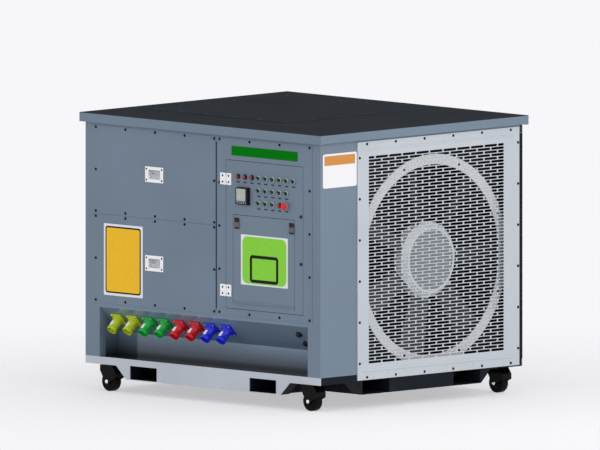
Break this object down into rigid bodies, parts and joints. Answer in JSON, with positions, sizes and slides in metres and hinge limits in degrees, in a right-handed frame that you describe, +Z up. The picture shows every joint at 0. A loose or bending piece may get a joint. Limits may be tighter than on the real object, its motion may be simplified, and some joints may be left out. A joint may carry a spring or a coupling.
{
  "type": "generator load bank",
  "caption": "Fan-cooled resistive load bank: sheet-metal cabinet on swivel castors with fork tunnels, slotted grille, hinged control door and a raked socket bay.",
  "frame": {"origin": "on the floor under the middle of the cabinet", "axes": "+Z up; the control and socket side faces -Y; the fan grille faces +X"},
  "size_m": [1.851, 1.6058, 1.52],
  "materials": {
    "grey_paint": "satin powder coat",
    "pale_grey_paint": "satin powder coat",
    "silver_paint": "satin silver paint",
    "black_frame": "satin black paint",
    "black_gloss": "gloss black paint",
    "galvanised": "galvanised sheet",
    "stainless": "stainless sheath",
    "screw_steel": "zinc plated",
    "black_plastic": "moulded",
    "white_plastic": "white powder coat",
    "fan_plastic": "moulded",
    "lamp_red": "clear moulded",
    "selector_green": "moulded",
    "yellow_plastic": "moulded",
    "green_plastic": "moulded",
    "red_plastic": "moulded",
    "blue_plastic": "moulded",
    "wheel_rubber": "matte tread"
  },
  "bodies": {
    "cabinet": {"base_frame": "black_frame", "skids": "black_frame", "end_cladding": "pale_grey_paint", "cabinet_frame": "grey_paint", "bay_liner": "black_gloss", "sockets_yellow": "yellow_plastic", "sockets_green": "green_plastic", "sockets_red": "red_plastic", "sockets_blue": "blue_plastic", "aux_sockets": "black_plastic", "front_panels": "grey_paint", "handle_dishes": "white_plastic", "control_enclosure": "galvanised", "grille_panel": "silver_paint", "fan_shroud": "black_frame", "fan_ring": "galvanised", "fan_motor": "black_frame", "resistor_bank": "stainless", "outlet_louvres": "silver_paint", "rear_cover": "black_frame", "roof_rim": "grey_paint", "roof_panels": "black_gloss", "panel_screws": "screw_steel", "hinge_frame_leaves": "white_plastic"},
    "door": {"control_door": "grey_paint", "hinge_door_leaves": "white_plastic", "panel_meter": "black_plastic", "selector_bezels": "screw_steel", "pilot_lamps": "lamp_red"},
    "flap": {"controller_flap": "grey_paint"},
    "latch_left": {"flap_latch_left": "black_plastic"},
    "latch_right": {"flap_latch_right": "black_plastic"},
    "lock_upper": {"door_lock_upper": "black_plastic"},
    "lock_lower": {"door_lock_lower": "black_plastic"},
    "stop": {"emergency_stop": "red_plastic"},
    "bail_upper": {"handle_bail_upper": "white_plastic"},
    "bail_lower": {"handle_bail_lower": "white_plastic"},
    "rotor": {"fan_rotor": "fan_plastic"},
    "knob_01": {"selector_knob_01": "selector_green"},
    "knob_02": {"selector_knob_02": "selector_green"},
    "knob_03": {"selector_knob_03": "selector_green"},
    "knob_04": {"selector_knob_04": "selector_green"},
    "knob_05": {"selector_knob_05": "selector_green"},
    "knob_06": {"selector_knob_06": "selector_green"},
    "knob_07": {"selector_knob_07": "selector_green"},
    "knob_08": {"selector_knob_08": "selector_green"},
    "knob_09": {"selector_knob_09": "selector_green"},
    "knob_10": {"selector_knob_10": "selector_green"},
    "knob_11": {"selector_knob_11": "selector_green"},
    "knob_12": {"selector_knob_12": "selector_green"},
    "knob_13": {"selector_knob_13": "selector_green"},
    "knob_14": {"selector_knob_14": "selector_green"},
    "fork_front_left": {"castor_fork_front_left": "black_frame"},
    "wheel_front_left": {"castor_wheel_front_left": "wheel_rubber"},
    "fork_front_right": {"castor_fork_front_right": "black_frame"},
    "wheel_front_right": {"castor_wheel_front_right": "wheel_rubber"},
    "fork_rear_left": {"castor_fork_rear_left": "black_frame"},
    "wheel_rear_left": {"castor_wheel_rear_left": "wheel_rubber"},
    "fork_rear_right": {"castor_fork_rear_right": "black_frame"},
    "wheel_rear_right": {"castor_wheel_rear_right": "wheel_rubber"}
  },
  "joints": [
    {"name": "door_hinge", "type": "hinge", "parent": "cabinet", "child": "door", "pos_m": [0.178, -0.782, 0.9235], "axis": [0, 0, -1], "range_deg": [0, 95]},
    {"name": "flap_hinge", "type": "hinge", "parent": "door", "child": "flap", "pos_m": [0.469, -0.7795, 0.55725], "axis": [1, 0, 0], "range_deg": [0, 90]},
    {"name": "latch_left_slide", "type": "slide", "parent": "flap", "child": "latch_left", "axis": [0, 0, 1], "range_m": [0, 0.014]},
    {"name": "latch_right_slide", "type": "slide", "parent": "flap", "child": "latch_right", "axis": [0, 0, 1], "range_m": [0, 0.014]},
    {"name": "lock_upper_turn", "type": "hinge", "parent": "door", "child": "lock_upper", "pos_m": [0.754, -0.7765, 1.0595], "axis": [0, -1, 0], "range_deg": [0, 90]},
    {"name": "lock_lower_turn", "type": "hinge", "parent": "door", "child": "lock_lower", "pos_m": [0.754, -0.7765, 0.8005], "axis": [0, -1, 0], "range_deg": [0, 90]},
    {"name": "stop_push", "type": "slide", "parent": "door", "child": "stop", "axis": [0, 1, 0], "range_m": [0, 0.005], "stiffness_N_per_m": 400},
    {"name": "bail_upper_turn", "type": "hinge", "parent": "cabinet", "child": "bail_upper", "pos_m": [-0.37, -0.7685, 1.22725], "axis": [-1, 0, 0], "range_deg": [0, 90]},
    {"name": "bail_lower_turn", "type": "hinge", "parent": "cabinet", "child": "bail_lower", "pos_m": [-0.37, -0.7685, 0.74375], "axis": [-1, 0, 0], "range_deg": [0, 90]},
    {"name": "fan_spin", "type": "hinge", "parent": "cabinet", "child": "rotor", "pos_m": [0.8, 0.125, 0.7695], "axis": [1, 0, 0], "continuous": true},
    {"name": "knob_01_turn", "type": "hinge", "parent": "door", "child": "knob_01", "pos_m": [0.4313, -0.7765, 1.247], "axis": [0, -1, 0], "range_deg": [0, 60]},
    {"name": "knob_02_turn", "type": "hinge", "parent": "door", "child": "knob_02", "pos_m": [0.4844, -0.7765, 1.247], "axis": [0, -1, 0], "range_deg": [0, 60]},
    {"name": "knob_03_turn", "type": "hinge", "parent": "door", "child": "knob_03", "pos_m": [0.5375, -0.7765, 1.247], "axis": [0, -1, 0], "range_deg": [0, 60]},
    {"name": "knob_04_turn", "type": "hinge", "parent": "door", "child": "knob_04", "pos_m": [0.5906, -0.7765, 1.247], "axis": [0, -1, 0], "range_deg": [0, 60]},
    {"name": "knob_05_turn", "type": "hinge", "parent": "door", "child": "knob_05", "pos_m": [0.6437, -0.7765, 1.247], "axis": [0, -1, 0], "range_deg": [0, 60]},
    {"name": "knob_06_turn", "type": "hinge", "parent": "door", "child": "knob_06", "pos_m": [0.6968, -0.7765, 1.247], "axis": [0, -1, 0], "range_deg": [0, 60]},
    {"name": "knob_07_turn", "type": "hinge", "parent": "door", "child": "knob_07", "pos_m": [0.4313, -0.7765, 1.17825], "axis": [0, -1, 0], "range_deg": [0, 60]},
    {"name": "knob_08_turn", "type": "hinge", "parent": "door", "child": "knob_08", "pos_m": [0.4844, -0.7765, 1.17825], "axis": [0, -1, 0], "range_deg": [0, 60]},
    {"name": "knob_09_turn", "type": "hinge", "parent": "door", "child": "knob_09", "pos_m": [0.5375, -0.7765, 1.17825], "axis": [0, -1, 0], "range_deg": [0, 60]},
    {"name": "knob_10_turn", "type": "hinge", "parent": "door", "child": "knob_10", "pos_m": [0.5906, -0.7765, 1.17825], "axis": [0, -1, 0], "range_deg": [0, 60]},
    {"name": "knob_11_turn", "type": "hinge", "parent": "door", "child": "knob_11", "pos_m": [0.6437, -0.7765, 1.17825], "axis": [0, -1, 0], "range_deg": [0, 60]},
    {"name": "knob_12_turn", "type": "hinge", "parent": "door", "child": "knob_12", "pos_m": [0.4313, -0.7765, 1.1095], "axis": [0, -1, 0], "range_deg": [0, 60]},
    {"name": "knob_13_turn", "type": "hinge", "parent": "door", "child": "knob_13", "pos_m": [0.4844, -0.7765, 1.1095], "axis": [0, -1, 0], "range_deg": [0, 60]},
    {"name": "knob_14_turn", "type": "hinge", "parent": "door", "child": "knob_14", "pos_m": [0.5375, -0.7765, 1.1095], "axis": [0, -1, 0], "range_deg": [0, 60]},
    {"name": "swivel_front_left", "type": "hinge", "parent": "cabinet", "child": "fork_front_left", "pos_m": [-0.771, -0.712, 0.14], "axis": [0, 0, 1], "continuous": true},
    {"name": "roll_front_left", "type": "hinge", "parent": "fork_front_left", "child": "wheel_front_left", "pos_m": [-0.763, -0.712, 0.054], "axis": [0, 1, 0], "continuous": true},
    {"name": "swivel_front_right", "type": "hinge", "parent": "cabinet", "child": "fork_front_right", "pos_m": [0.771, -0.712, 0.14], "axis": [0, 0, 1], "continuous": true},
    {"name": "roll_front_right", "type": "hinge", "parent": "fork_front_right", "child": "wheel_front_right", "pos_m": [0.779, -0.712, 0.054], "axis": [0, 1, 0], "continuous": true},
    {"name": "swivel_rear_left", "type": "hinge", "parent": "cabinet", "child": "fork_rear_left", "pos_m": [-0.771, 0.712, 0.14], "axis": [0, 0, 1], "continuous": true},
    {"name": "roll_rear_left", "type": "hinge", "parent": "fork_rear_left", "child": "wheel_rear_left", "pos_m": [-0.763, 0.712, 0.054], "axis": [0, 1, 0], "continuous": true},
    {"name": "swivel_rear_right", "type": "hinge", "parent": "cabinet", "child": "fork_rear_right", "pos_m": [0.771, 0.712, 0.14], "axis": [0, 0, 1], "continuous": true},
    {"name": "roll_rear_right", "type": "hinge", "parent": "fork_rear_right", "child": "wheel_rear_right", "pos_m": [0.779, 0.712, 0.054], "axis": [0, 1, 0], "continuous": true}
  ]
}
